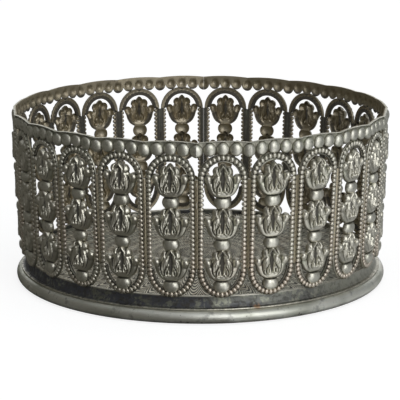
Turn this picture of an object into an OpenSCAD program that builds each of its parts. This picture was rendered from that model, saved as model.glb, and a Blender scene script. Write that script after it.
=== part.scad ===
// Wine bottle coaster: a round moulded foot with a recessed hatched floor, and a pierced gallery of
// twenty-four alike panels under a beaded rim. Millimetres, +Z up, origin in the middle of the underside,
// front of the coaster towards -Y.

/* [Foot and floor] */
// Height of the half-round moulding that the coaster stands on
ring_h = 4.4; // [3.6:0.2:5.4]
// Outer radius of the half-round moulding
ring_r = 65.2; // [60:0.1:75]
// Gap left under the moulding, so that the felt takes the weight
ring_lift = 0.2; // [0.1:0.05:0.4]
// Width of the moulding, from its outer edge to the board that it holds
ring_w = 5; // [4:0.25:6]
// Height of the fillet step over the moulding
fillet_h = 1.1; // [0.8:0.1:1.6]
// How far the fillet step stands in from the moulding's outer edge
fillet_inset = 1.7; // [1.3:0.1:2]
// Height of the upright neck that the gallery is joined to
neck_h = 3.5; // [3:0.25:5]
// How far the neck's top edge stands in from the moulding's outer edge
neck_inset = 3.6; // [3:0.1:4.2]
// How much further out the neck stands at its foot
neck_flare = 0.5; // [0.2:0.1:0.8]
// Thickness of the neck's wall
neck_t = 1.1; // [0.8:0.1:1.5]
// Depth of the floor below the neck's top edge
floor_recess = 1.5; // [1:0.25:2]
// Thickness of the hatched floor plate
floor_t = 0.8; // [0.6:0.1:1]
// Thickness of the shell under the floor plate
ledge_t = 0.8; // [0.6:0.1:1]
// Width of the ledge that the floor plate lies on
ledge_w = 5; // [3:0.5:8]
// Thickness of the board that closes the underside
board_t = 3.6; // [3:0.2:4]
// Thickness of the felt pad
felt_t = 1; // [0.6:0.1:1.2]
// Width left bare between the edge of the board and the edge of the felt
felt_margin = 2; // [1:0.5:4]

/* [Gallery] */
// Height of a gallery panel along its sheet, from its lower edge to the rim over the loop
panel_h = 52.5; // [51:0.25:54]
// How far the gallery laps down over the outside of the neck
gallery_lap = 0.8; // [0.5:0.1:1.2]
// How much further out the gallery stands at the rim than at its foot
gallery_flare = 2.6; // [1:0.1:3]
// Thickness of the stamped sheet
sheet_t = 0.9; // [0.7:0.05:1.2]
// How far the rim's top edge dips at each joint between two panels
rim_dip = 0.5; // [0.2:0.1:0.8]
// Height of the plain band behind the rim beads
rim_band_h = 3; // [2.4:0.2:3.4]
// Radius of a rim bead
rim_bead_r = 2.15; // [2.12:0.01:2.2]
// Depth of the middle of a rim bead below the rim's top edge
rim_bead_drop = 2.3; // [2.2:0.1:2.6]
// How far the middle of a rim bead lies behind the sheet's inside face
rim_bead_back = 0.5; // [0.3:0.1:0.8]
// Wall left where a rim bead is hollow at the back
rim_bead_t = 0.7; // [0.6:0.05:0.9]

/* [Loops] */
// Depth of a loop's top bead below the rim's top edge
crown_drop = 5.4; // [5.2:0.1:5.8]
// Distance between the bead columns of two panels at half height
column_gap = 2.7; // [2.4:0.1:3.2]
// Height of the narrowing lower end of a loop
loop_toe_h = 8.4; // [7.4:0.2:9.4]
// Plain flange outside the middle of the small beads
flange_w = 1.4; // [1.3:0.05:1.5]
// Lip inside the middle of the small beads
lip_w = 0.75; // [0.7:0.05:0.9]
// Radius of a small bead
bead_r = 0.65; // [0.55:0.05:0.68]

/* [Tulips and balls] */
// Gap from a tulip's point to the foot of the tulip over it, which a ball bridges
drop_gap = 2.9; // [2.5:0.1:3.2]
// Height of the lowest tulip's foot over the gallery's lower edge
drop_start = 6; // [5.6:0.1:6.4]
// Height of a tulip from its foot to its point
tulip_h = 11.1; // [10.4:0.1:11.6]
// Half the width of a tulip's bud
bud_w = 3.3; // [3:0.1:3.6]
// How far tulips and balls stand out from the inside face of the sheet
drop_relief = 1.95; // [1.6:0.05:2.3]
// Reach of a side petal's tip from the middle of the tulip
petal_reach = 5.6; // [5:0.1:5.9]
// Height of a side petal's tip over the tulip's foot
petal_h = 8; // [7.4:0.1:8.6]
// How far the side petals stand out from the inside face of the sheet
petal_relief = 1.5; // [1.2:0.05:1.7]
// How far the leaves on the bud stand out over it
leaf_relief = 0.3; // [0.2:0.05:0.4]
// Half the width of a ball
ball_w = 2.7; // [2.4:0.1:2.9]
// Drop from a tulip's foot to the middle of the ball under it
ball_drop = 1.9; // [1.7:0.1:2.1]

/* [Hidden] */
$fn = 48;
panel_count = 24;
// Angle of the first panel to the right of the front
first_panel_angle = 6.38;
// Steps of a small bead along one column, the round top and the lower end of a loop
column_steps = 21;
crown_steps = 14;
toe_steps = 16;
drop_count = 3;
beads_per_panel = 4;
outline_steps = 12;
// Clearance between two pieces that are joined or laid together
fit_clear = 0.05;
// Overrun of a cut past the face that it cuts
over = 1;

panel_angle = 360 / panel_count;
fillet_r = ring_r - fillet_inset;
neck_r = ring_r - neck_inset;
neck_foot_z = ring_lift + ring_h + fillet_h;
neck_top_z = neck_foot_z + neck_h;
floor_z = neck_top_z - floor_recess;
ledge_z = floor_z - floor_t - fit_clear;
board_r = ring_r - ring_w - fit_clear;

// A panel is drawn flat, with X across it, Y up along its sheet and Z outwards from its inside face
lean = asin(gallery_flare / panel_h);
panel_z = neck_top_z - gallery_lap;
panel_r = neck_r + neck_flare * gallery_lap / neck_h + fit_clear;
half_pitch = (panel_r + gallery_flare / 2) * tan(panel_angle / 2);
loop_w = half_pitch - column_gap / 2;
drop_pitch = tulip_h + drop_gap;
crown_y = panel_h - crown_drop;
crown_mid_y = crown_y - loop_w;
toe_mid_y = flange_w + loop_toe_h;
// Axes of the turned shapes lie behind the sheet, so that they stand out by drop_relief
bud_back = (pow(bud_w, 2) - pow(drop_relief, 2)) / (2 * drop_relief);
ball_r = (pow(ball_w, 2) + pow(drop_relief, 2)) / (2 * drop_relief);

metal = [0.55, 0.54, 0.5];
dark_metal = [0.36, 0.36, 0.34];

panel_names = [for (i = [1 : panel_count]) str("panel_", i < 10 ? "0" : "", i)];

// Points along a cubic curve between the first and the last of four points
function curve_of(p, n) = [for (i = [0 : n]) let (t = i / n)
    p[0] * pow(1 - t, 3) + p[1] * 3 * t * pow(1 - t, 2) + p[2] * 3 * pow(t, 2) * (1 - t) + p[3] * pow(t, 3)];
function scaled(points, w, h) = [for (p = points) [p[0] * w, p[1] * h]];

// A loop's outline, a given distance outside the middle of its beads
function loop_outline(grow) = concat(
    [for (i = [0 : outline_steps])
        let (a = 180 * i / outline_steps)
        [(loop_w + grow) * cos(a), crown_mid_y + (loop_w + grow) * sin(a)]],
    [for (i = [0 : outline_steps])
        let (a = 180 + 180 * i / outline_steps)
        [(loop_w + grow) * cos(a), toe_mid_y + (loop_toe_h + grow) * sin(a)]]);

// Places of a loop's small beads: up or down a column, round the top and round the lower end
loop_beads = concat(
    [for (side = [-1, 1], i = [0 : column_steps])
        [side * loop_w, crown_mid_y + (toe_mid_y - crown_mid_y) * i / column_steps]],
    [for (i = [1 : toe_steps - 1])
        let (a = -180 * i / toe_steps)
        [loop_w * cos(a), toe_mid_y + loop_toe_h * sin(a)]],
    [for (i = [1 : crown_steps - 1])
        let (a = 180 * i / crown_steps)
        [loop_w * cos(a), crown_mid_y + loop_w * sin(a)]]);

// Half the bud's width at a height over its foot: round below and pointed at the top
bud_belly_share = 0.42;
bud_taper = 2.2;
bud_steps = 8;
function bud_half(t) =
    let (belly = bud_belly_share * tulip_h)
    t < belly ? bud_w * sqrt(1 - pow(1 - t / belly, 2))
        : bud_w * (1 - pow((t - belly) / (tulip_h - belly), bud_taper));
function bud_outline(grow) = concat(
    [[0, 0]],
    [for (i = [0 : bud_steps])
        let (t = tulip_h * (1 - cos(180 * i / bud_steps)) / 2)
        [sqrt(pow(bud_back, 2) + pow(bud_half(t), 2)) + grow, t]],
    [[0, tulip_h]]);

// A side petal: its lower edge, its tip and its upper edge, in shares of its reach and height
petal_steps = 4;
petal_low_shares = [[0.2, 0], [0.75, 0.02], [0.72, 0.42], [1, 0.66]];
petal_tip_shares = [[1, 0.66], [1.02, 0.9], [0.98, 1.02], [0.84, 1]];
petal_top_shares = [[0.84, 1], [0.72, 0.86], [0.62, 0.6], [0.2, 0.36]];
petal_outline = [for (p = [petal_low_shares, petal_tip_shares, petal_top_shares])
    each curve_of(scaled(p, petal_reach, petal_h), petal_steps)];

// One leaf of the pair on the bud, in shares of the bud's half width and the tulip's height
leaf_steps = 4;
leaf_outer_shares = [[0.22, 0.7], [0.75, 0.72], [1, 0.45], [0.5, 0.18]];
leaf_foot_shares = [[0.5, 0.18], [0.3, 0.1], [0.12, 0.12], [0.12, 0.2]];
leaf_inner_shares = [[0.12, 0.2], [0.5, 0.42], [0.35, 0.6], [0.22, 0.7]];
leaf_outline = [for (p = [leaf_outer_shares, leaf_foot_shares, leaf_inner_shares])
    each curve_of(scaled(p, bud_w, tulip_h), leaf_steps)];

module ring_segment(r_in, r_out, z_low, z_high) {
    rotate_extrude() translate([r_in, z_low]) square([r_out - r_in, z_high - z_low]);
}

module base_shell() {
    ring_top_z = ring_lift + ring_h + fit_clear;
    neck_in_r = neck_r - neck_t;
    color(dark_metal)
    rotate_extrude() polygon([
        [ring_r - ring_w, ring_top_z],
        [fillet_r, ring_top_z],
        [fillet_r, neck_foot_z - fillet_h / 2],
        [neck_r + neck_flare + fillet_h / 4, neck_foot_z],
        [neck_r + neck_flare, neck_foot_z + fillet_h / 4],
        [neck_r, neck_top_z],
        [neck_in_r, neck_top_z],
        [neck_in_r, ledge_z],
        [neck_in_r - ledge_w, ledge_z],
        [neck_in_r - ledge_w, ledge_z - ledge_t],
        [ring_r - ring_w, ledge_z - ledge_t]]);
}

// A half-round bead outside, and a flat band behind it that the shell is joined to
module foot_ring() {
    tube_r = ring_h / 2;
    color(metal)
    intersection() {
        rotate_extrude() union() {
            translate([ring_r - tube_r, ring_lift + tube_r]) circle(tube_r);
            translate([ring_r - ring_w, ring_lift]) square([ring_w - tube_r, ring_h]);
        }
        ring_segment(ring_r - ring_w, ring_r + over, ring_lift, ring_lift + ring_h);
    }
}

module floor_plate() {
    color(metal)
    translate([0, 0, floor_z - floor_t])
        cylinder(r = neck_r - neck_t - fit_clear, h = floor_t, $fn = 96);
}

module bottom_board() {
    color("saddlebrown")
    translate([0, 0, felt_t + fit_clear]) cylinder(r = board_r, h = board_t, $fn = 96);
}

module felt_pad() {
    color("darkolivegreen") cylinder(r = board_r - felt_margin, h = felt_t, $fn = 96);
}

// A flat outline made into sheet of a given thickness, from behind the inside face
module raised(depth) {
    translate([0, 0, -over]) linear_extrude(height = depth + over) children();
}

// The loop's flange, the straight columns beside it and the band under the rim, with the loop cut open
module panel_outline() {
    rim_arc_r = (pow(half_pitch, 2) + pow(rim_dip, 2)) / (2 * rim_dip);
    difference() {
        union() {
            polygon(loop_outline(flange_w));
            translate([-2 * half_pitch, toe_mid_y])
                square([4 * half_pitch, crown_mid_y - toe_mid_y]);
            intersection() {
                translate([0, panel_h - rim_arc_r]) circle(rim_arc_r, $fn = 720);
                translate([-2 * half_pitch, panel_h - rim_band_h])
                    square([4 * half_pitch, rim_band_h + over]);
            }
        }
        polygon(loop_outline(-lip_w));
    }
}

// The middles of the small beads lie on the outside face
module small_beads() {
    for (p = loop_beads) translate([p[0], p[1], sheet_t]) sphere(bead_r, $fn = 16);
}

// The rim beads follow the dip of the top edge, and one is centred on each joint with a neighbour
module rim_beads(r) {
    for (i = [-beads_per_panel / 2 : beads_per_panel / 2]) {
        across_share = 2 * i / beads_per_panel;
        y = panel_h - rim_bead_drop - rim_dip * pow(across_share, 2);
        axis_r = panel_r + y * sin(lean) - rim_bead_back * cos(lean);
        translate([across_share * axis_r * tan(panel_angle / 2), y, -rim_bead_back])
            rotate([-90, 0, 0]) sphere(r, $fn = 32);
    }
}

module bud(grow) {
    translate([0, 0, -bud_back]) rotate([-90, 0, 0]) mirror([0, 1, 0])
        rotate_extrude() polygon(bud_outline(grow));
}

module tulip() {
    bud(0);
    for (side = [0, 1]) mirror([side, 0, 0]) {
        raised(petal_relief) polygon(petal_outline);
        intersection() {
            raised(drop_relief + 2 * leaf_relief) polygon(leaf_outline);
            bud(leaf_relief);
        }
    }
}

// The row of tulips, each standing on its ball
module drops() {
    for (i = [0 : drop_count - 1]) translate([0, drop_start + i * drop_pitch, 0]) {
        tulip();
        translate([0, -ball_drop, drop_relief - ball_r]) sphere(ball_r);
    }
}

// The side of a panel's inside face that the panel stands on
module outside_face() {
    reach = 2 * panel_r;
    translate([-reach / 2, -reach / 4, 0]) cube(reach);
}

// The sector between the joints with the two neighbours, in the panel's own directions
module between_joints() {
    reach = 2 * panel_r;
    seam = asin(fit_clear / (2 * panel_r));
    far_x = reach * tan(panel_angle / 2 - seam);
    rotate([-90 - lean, 0, 0]) translate([0, panel_r, -panel_z])
        linear_extrude(height = reach) polygon([[0, 0], [-far_x, -reach], [far_x, -reach]]);
}

// The stamped sheet with its rim beads, which are hollow at the back
module panel_sheet() {
    difference() {
        intersection() {
            outside_face();
            between_joints();
            union() {
                raised(sheet_t) panel_outline();
                rim_beads(rim_bead_r);
            }
        }
        rim_beads(rim_bead_r - rim_bead_t);
    }
}

module panel() {
    color(metal)
    translate([0, -panel_r, panel_z]) rotate([90 + lean, 0, 0]) union() {
        panel_sheet();
        small_beads();
        intersection() {
            outside_face();
            drops();
        }
    }
}

base_shell();
foot_ring();
floor_plate();
bottom_board();
felt_pad();
for (i = [0 : panel_count - 1])
    rotate([0, 0, first_panel_angle + i * panel_angle]) panel();
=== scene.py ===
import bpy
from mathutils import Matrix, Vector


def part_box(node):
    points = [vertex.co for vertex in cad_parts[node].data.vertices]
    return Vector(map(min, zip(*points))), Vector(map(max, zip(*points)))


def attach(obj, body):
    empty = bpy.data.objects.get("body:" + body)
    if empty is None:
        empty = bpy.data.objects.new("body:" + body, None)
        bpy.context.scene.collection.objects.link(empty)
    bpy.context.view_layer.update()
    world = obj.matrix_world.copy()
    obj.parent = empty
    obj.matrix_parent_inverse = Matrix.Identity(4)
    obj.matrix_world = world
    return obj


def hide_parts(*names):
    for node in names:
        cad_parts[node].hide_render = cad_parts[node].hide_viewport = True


bl_info = {
    "name": "Pierced Bottle Coaster",
    "version": (1, 0, 0),
    "blender": (4, 5, 0),
    "location": "View3D > Sidebar > Coaster",
    "description": "A tarnished silver-plated bottle coaster, dressed around its construction frame",
    "category": "Add Mesh",
}

import math
from types import SimpleNamespace

import bmesh
import bpy
import numpy as np
from bpy.props import FloatProperty, FloatVectorProperty, IntProperty, PointerProperty
from bpy.types import Operator, Panel, PropertyGroup
from mathutils import Matrix, Vector
from mathutils.bvhtree import BVHTree

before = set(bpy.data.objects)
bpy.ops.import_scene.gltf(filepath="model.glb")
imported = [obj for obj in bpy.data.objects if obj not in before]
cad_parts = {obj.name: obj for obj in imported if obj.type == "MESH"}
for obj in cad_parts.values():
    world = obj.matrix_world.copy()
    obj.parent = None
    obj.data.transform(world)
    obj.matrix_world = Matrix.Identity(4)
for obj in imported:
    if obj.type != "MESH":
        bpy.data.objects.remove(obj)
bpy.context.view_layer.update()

MM = 0.001
RING_LOW, RING_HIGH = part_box("foot_ring")
SHELL_LOW, SHELL_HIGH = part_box("base_shell")
PLATE_LOW, PLATE_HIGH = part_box("floor_plate")
BOARD_LOW, BOARD_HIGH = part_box("bottom_board")
FELT_LOW, FELT_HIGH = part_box("felt_pad")
PANEL_NODES = sorted(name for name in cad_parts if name.startswith("panel_"))


# Sizes and colours that a user would change

def length(name, text, default):
    """A length, with its default in metres."""
    return FloatProperty(name=name, description=text, default=default, min=0, precision=5, unit="LENGTH")


def angle(name, text, degrees):
    """An angle, with its default in degrees."""
    return FloatProperty(name=name, description=text, default=math.radians(degrees), subtype="ANGLE")


def tally(name, text, default):
    """A whole number of things."""
    return IntProperty(name=name, description=text, default=default, min=1)


def colour(name, text, default):
    """A colour as red, green and blue."""
    return FloatVectorProperty(
        name=name, description=text, default=default, size=3, min=0, max=1, subtype="COLOR")


class CoasterFootSizes(PropertyGroup):
    """Sizes of the turned foot and of what it holds."""
    ring_w: length("Moulding width", "From the moulding's outer edge to the board that it holds", 5 * MM)
    fillet_h: length("Fillet height", "Height of the step over the moulding", 1.1 * MM)
    neck_inset: length("Neck inset", "How far the neck's top stands in from the moulding's edge", 3.6 * MM)
    neck_flare: length("Neck flare", "How much further out the neck stands at its foot", 0.5 * MM)
    neck_t: length("Neck wall", "Thickness of the neck's wall", 1.1 * MM)
    neck_cove: length("Neck cove", "How hollow the neck is between its foot and its top edge", 0.18 * MM)
    ledge_t: length("Ledge thickness", "Thickness of the shell under the floor plate", 0.8 * MM)
    ledge_w: length("Ledge width", "Width of the ledge that the floor plate lies on", 5 * MM)
    hatch_pitch: length("Hatch pitch", "Distance between two engraved lines of the floor", 3.5 * MM)
    scallop_depth: length("Scallop depth", "How far an engraved line runs in and out", 8.4 * MM)
    scallops: tally("Scallops", "Scallops of a line round the floor", 72)
    dent: length("Dent depth", "Deepest dent of the moulding", 0.12 * MM)
    rust_angle: angle("Rust spot", "Angle of the rust spot to the right of the front", 17)


class CoasterGallerySizes(PropertyGroup):
    """Sizes of one stamped panel of the gallery."""
    first_angle: angle("First panel", "Angle of the first panel to the right of the front", 6.38)
    panel_h: length("Panel height", "From the panel's lower edge to the rim over the loop", 52.5 * MM)
    lap: length("Lap", "How far the gallery laps down over the neck", 0.8 * MM)
    flare: length("Flare", "How much further out the gallery stands at the rim", 2.6 * MM)
    seam: length("Seam", "Gap between two panels", 0.05 * MM)
    sheet_t: length("Sheet relief", "Height of the loop's plain flange over the inside face", 0.9 * MM)
    rim_dip: length("Rim dip", "How far the rim dips at each joint", 0.5 * MM)
    rim_band_h: length("Rim band", "Height of the plain band behind the rim beads", 3 * MM)
    rim_bead_r: length("Rim bead radius", "Radius of a rim bead", 2.24 * MM)
    rim_bead_w: length("Rim bead half width", "Half the width of a rim bead at its foot", 2.1 * MM)
    rim_bead_drop: length("Rim bead drop", "Middle of a rim bead below the rim's edge", 2.68 * MM)
    rim_bead_back: length("Rim bead depth", "Middle of a rim bead behind the inside face", 0.6 * MM)
    rim_bead_t: length("Rim bead wall", "Wall left where a rim bead is hollow", 0.7 * MM)
    crown_drop: length("Crown drop", "Loop's top bead below the rim's edge", 5.4 * MM)
    column_gap: length("Column gap", "Between the bead columns of two panels", 2.7 * MM)
    toe_h: length("Toe height", "Height of the narrowing lower end of a loop", 8.4 * MM)
    flange_w: length("Flange", "Plain flange outside the middle of the small beads", 1.4 * MM)
    lip_w: length("Lip", "Lip inside the middle of the small beads", 1.15 * MM)
    bead_r: length("Small bead radius", "Radius of a small bead along its row", 0.8 * MM)
    bead_breadth: FloatProperty(
        name="Small bead breadth", description="Width of a small bead as a share of its length in the row",
        default=1.2, min=0.5, max=2)
    bead_flatness: FloatProperty(
        name="Small bead flatness", description="Height of a small bead as a share of its length",
        default=0.8, min=0.3, max=1)
    bead_count: tally("Small beads", "Small beads round a loop", 72)
    dent: length("Gallery dent", "How far the rim is knocked in at most", 0.35 * MM)


class CoasterTulipSizes(PropertyGroup):
    """Sizes of a tulip, of the ball under it and of their row."""
    height: length("Tulip height", "From a tulip's foot to its point", 11.1 * MM)
    gap: length("Tulip gap", "From a tulip's point to the foot of the next", 2.9 * MM)
    start: length("Lowest foot", "Lowest tulip's foot over the panel's lower edge", 6 * MM)
    relief: length("Tulip relief", "How far a tulip stands out from the inside face", 1.95 * MM)
    wall: length("Tulip wall", "Thickness of the stamped metal", 0.45 * MM)
    grain: length("Relief step", "Distance between two points of the relief's grid", 0.18 * MM)
    count: tally("Tulips", "Tulips in a panel", 3)


class CoasterFinish(PropertyGroup):
    """Colours of the metals, the board and the felt."""
    worn: colour("Worn silver", "Silver rubbed bright on the high spots", (0.7, 0.68, 0.59))
    silver: colour("Silver", "Dull silver of the open faces", (0.42, 0.41, 0.35))
    tarnish: colour("Tarnish", "Black tarnish in the hollows", (0.06, 0.055, 0.046))
    copper: colour("Copper blush", "Copper that shows where the plating is thin", (0.62, 0.52, 0.43))
    verdigris: colour("Green bloom", "Greenish bloom of the open faces", (0.38, 0.4, 0.32))
    moulding: colour("Moulding", "Pale silver of the foot's moulding", (0.82, 0.83, 0.77))
    rust: colour("Rust", "Orange stain in the crease over the moulding", (0.38, 0.21, 0.09))
    neck: colour("Neck", "Blue-black tarnish of the neck", (0.075, 0.078, 0.088))
    inside: colour("Inside tarnish", "Brown tarnish of the inside faces", (0.48, 0.4, 0.27))
    plate: colour("Floor plate", "Warm pale silver of the floor plate", (0.88, 0.84, 0.68))
    wood: colour("Board", "Stained board under the floor", (0.16, 0.085, 0.04))
    felt: colour("Felt", "Dark green felt", (0.018, 0.05, 0.028))
    dust: colour("Dust", "Dust on the felt", (0.11, 0.11, 0.09))
    paper: colour("Studio floor", "Pale floor of the studio", (0.92, 0.92, 0.91))


class CoasterStudio(PropertyGroup):
    """Where the camera stands, as in the photograph."""
    distance: length("Camera distance", "From the coaster's axis to the camera", 644.6 * MM)
    height: length("Camera height", "Height of the camera over the table", 176.2 * MM)
    pitch: angle("Camera pitch", "How far the camera looks down", 13.05)
    lens: FloatProperty(name="Lens", description="Focal length in millimetres", default=168.2, min=1)
    shift: FloatProperty(name="Shift", description="Sideways shift of the frame", default=-0.001)


def settings_of(group):
    """The properties that a group declares itself."""
    return [prop for prop in group.bl_rna.properties if prop.identifier not in ("rna_type", "name")]


def in_mm(group):
    """A group's lengths in millimetres, with its counts, angles and colours as they are."""
    made = SimpleNamespace()
    for prop in settings_of(group):
        value = getattr(group, prop.identifier)
        setattr(made, prop.identifier, value / MM if prop.unit == "LENGTH" else value)
    return made


# Shapes, in millimetres, as lists of points and of the faces between them

class Form:
    """One or more closed skins of points and faces."""

    def __init__(self):
        self.points = np.zeros((0, 3))
        self.faces = []

    def add(self, points, faces):
        """Takes in points, and faces that count their corners from the first of these."""
        shift = len(self.points)
        self.points = np.vstack([self.points, points])
        self.faces += [[corner + shift for corner in face] for face in faces]
        return self

    def take(self, other):
        """Takes in another form."""
        return self.add(other.points, other.faces)


def wrapped(rings, closed=False):
    """Faces round a row of closed rings of points, with the two ends capped or joined to each other."""
    rings = np.asarray(rings, float)
    count, size = rings.shape[:2]
    faces = []
    for i in range(count if closed else count - 1):
        here, there = i * size, (i + 1) % count * size
        for j in range(size):
            k = (j + 1) % size
            faces.append([here + j, here + k, there + k, there + j])
    if not closed:
        faces.append(list(range(size))[::-1])
        faces.append([(count - 1) * size + j for j in range(size)])
    return Form().add(rings.reshape(-1, 3), faces)


def turned(profile, steps):
    """A closed profile of (radius, height) turned about the upright axis."""
    profile = np.array(profile)
    angles = np.linspace(0, 2 * math.pi, steps, endpoint=False)
    rings = [np.c_[profile[:, 0] * math.cos(a), profile[:, 0] * math.sin(a), profile[:, 1]] for a in angles]
    return wrapped(rings, closed=True)


def spun_disc(profile, steps):
    """A profile from the axis round the edge and back to the axis, turned to a closed disc."""
    profile = np.array(profile)
    angles = np.linspace(0, 2 * math.pi, steps, endpoint=False)
    rings = [np.c_[r * np.cos(angles), r * np.sin(angles), np.full(steps, z)] for r, z in profile]
    return wrapped(rings)


def arc(centre, radius, start, stop, steps):
    """Points (across, up) of an arc between two angles in degrees."""
    angles = np.radians(np.linspace(start, stop, steps))
    return [(centre[0] + radius * math.cos(a), centre[1] + radius * math.sin(a)) for a in angles]


def smooth_rows(rows, count):
    """Rows of numbers run through by a smooth curve and read off at an even count of places."""
    rows = np.array(rows, float)
    padded = np.vstack([2 * rows[0] - rows[1], rows, 2 * rows[-1] - rows[-2]])
    places = np.linspace(0, len(rows) - 1, count)
    spans = np.minimum(places.astype(int), len(rows) - 2)
    t = (places - spans)[:, None]
    a, b, c, d = (padded[spans + k] for k in range(4))
    return 0.5 * (2 * b + (c - a) * t + (2 * a - 5 * b + 4 * c - d) * t**2 + (3 * b - a - 3 * c + d) * t**3)


# The tulip and its ball as strokes of a chasing tool: x, y and half width in shares of the tulip's height,
# and the height over the sheet in shares of its relief. The other half mirrors this one. A ground's first
# number is its height at the edge. Ribs are laid on the grounds, and then grooves are cut.

GROUND_SHARES = {
    "foot": (0.3, [(0, 0.1, 0.1, 0.86), (0.1, 0.105, 0.105, 0.86), (0.17, 0.125, 0.115, 0.84)]),
    "cup": (0.3, [
        (0, 0.2, 0.22, 0.92), (0, 0.3, 0.3, 0.95), (0, 0.42, 0.33, 0.95), (0, 0.52, 0.32, 0.88),
        (0, 0.62, 0.25, 0.76), (0, 0.7, 0.16, 0.62)]),
    "petal": (0.25, [
        (0.16, 0.13, 0.13, 0.84), (0.25, 0.2, 0.135, 0.84), (0.33, 0.31, 0.12, 0.76),
        (0.385, 0.42, 0.098, 0.64), (0.415, 0.52, 0.112, 0.9), (0.425, 0.57, 0.12, 1.06)]),
    "leaf": (0.8, [
        (0.14, 0.63, 0.062, 0.98), (0.165, 0.58, 0.084, 1.06), (0.185, 0.5, 0.09, 1.1),
        (0.205, 0.41, 0.08, 1.12), (0.22, 0.3, 0.06, 1.1), (0.19, 0.2, 0.05, 1.04),
        (0.13, 0.135, 0.045, 0.96)]),
    "hook": (0.8, [
        (0.07, 0.44, 0.022, 0.94), (0.1, 0.395, 0.034, 1.1), (0.135, 0.33, 0.036, 1.18),
        (0.15, 0.265, 0.036, 1.2), (0.143, 0.2, 0.036, 1.2), (0.107, 0.168, 0.036, 1.18),
        (0.07, 0.2, 0.034, 1.14), (0.06, 0.26, 0.03, 1.04), (0.063, 0.32, 0.018, 0.9)]),
    "lobe": (0.4, [
        (0.13, 0.68, 0.06, 0.66), (0.17, 0.7, 0.085, 0.8), (0.205, 0.76, 0.09, 0.86),
        (0.19, 0.82, 0.08, 0.82), (0.16, 0.865, 0.05, 0.66)]),
    "point": (0.35, [
        (0, 0.7, 0.11, 0.5), (0, 0.76, 0.14, 0.62), (0, 0.84, 0.125, 0.7), (0, 0.91, 0.085, 0.7),
        (0, 0.97, 0.04, 0.6)]),
    "necklet": (0.2, [(0, -0.02, 0.04, 0.4), (0.08, -0.02, 0.04, 0.4), (0.15, -0.02, 0.04, 0.35)]),
}
BALL_SHARES = [(0, -0.158, 0.22, 1.15), (0.015, -0.158, 0.22, 1.15), (0.03, -0.158, 0.22, 1.15)]
BALL_BASE_SHARE = 0.12
BALL_TOP_SHARE = -0.025
RIB_SHARES = [
    [(0.15, 0.68, 0.03, 0.16), (0.175, 0.72, 0.045, 0.22), (0.19, 0.77, 0.05, 0.2),
     (0.175, 0.83, 0.04, 0.1)],
    [(0.12, 0.7, 0.03, 0.3), (0.125, 0.76, 0.04, 0.4), (0.092, 0.82, 0.04, 0.44), (0.05, 0.88, 0.038, 0.42),
     (0.02, 0.925, 0.035, 0.38), (0, 0.945, 0.03, 0.34)],
]
GROOVE_SHARES = [
    [(0.125, 0.58, 0.012, 0.04), (0.15, 0.5, 0.016, 0.12), (0.175, 0.4, 0.016, 0.14),
     (0.19, 0.32, 0.012, 0.06)],
    [(0.175, 0.61, 0.012, 0.04), (0.215, 0.52, 0.018, 0.14), (0.232, 0.42, 0.018, 0.16),
     (0.225, 0.3, 0.016, 0.14), (0.195, 0.22, 0.014, 0.06)],
    [(0.07, 0.58, 0.018, 0.08), (0.085, 0.5, 0.02, 0.2), (0.125, 0.41, 0.02, 0.26), (0.17, 0.33, 0.018, 0.28),
     (0.185, 0.255, 0.018, 0.28), (0.168, 0.185, 0.018, 0.24), (0.12, 0.142, 0.016, 0.12)],
    [(0.107, 0.31, 0.018, 0.18), (0.107, 0.25, 0.022, 0.26), (0.107, 0.215, 0.016, 0.16)],
    [(0.2, 0.655, 0.016, 0.1), (0.27, 0.56, 0.022, 0.18), (0.3, 0.42, 0.022, 0.2), (0.29, 0.3, 0.022, 0.2),
     (0.25, 0.18, 0.02, 0.14), (0.19, 0.1, 0.016, 0.04)],
    [(0, 0.68, 0.05, 0.2), (0, 0.77, 0.06, 0.34), (0, 0.83, 0.045, 0.26)],
    [(0.135, 0.7, 0.02, 0.16), (0.142, 0.77, 0.024, 0.22), (0.13, 0.86, 0.02, 0.18)],
    [(0, 0.68, 0.07, 0.34), (0, 0.58, 0.085, 0.5), (0, 0.47, 0.08, 0.52), (0, 0.36, 0.06, 0.46),
     (0, 0.27, 0.045, 0.36), (0, 0.2, 0.03, 0.18)],
]

# The flower inside a tulip, made lighter, and the plain bowl round it, made darker: half width, middle and
# half height in shares of the tulip's height. The plain bowl round it ends at the bowl's top.

FLOWER_SHARES = (0.3, 0.42, 0.36)
BOWL_TOP_SHARE = 0.5
FLOWER_FADE = 0.2
BOWL_FADE = 0.08
FLOWER_LIGHTENING = 0.16
BOWL_DARKENING = 0.34

# How close together the points of a smoothed stroke are set

STROKE_POINTS_PER_ROW = 12

# The grid that a drop is cut from, in shares of the tulip's height, and how its edge is drawn to the outline

GRID_REACH_SHARE = 0.56
GRID_LOW_SHARE = -0.4
GRID_HIGH_SHARE = 1.04
OUTLINE_ROUNDS = 3
LEAST_STEEPNESS = 0.3

# Heights are read this share of the way out, so that points on the outline don't fall off its strokes

READ_SHARE = 0.998


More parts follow.
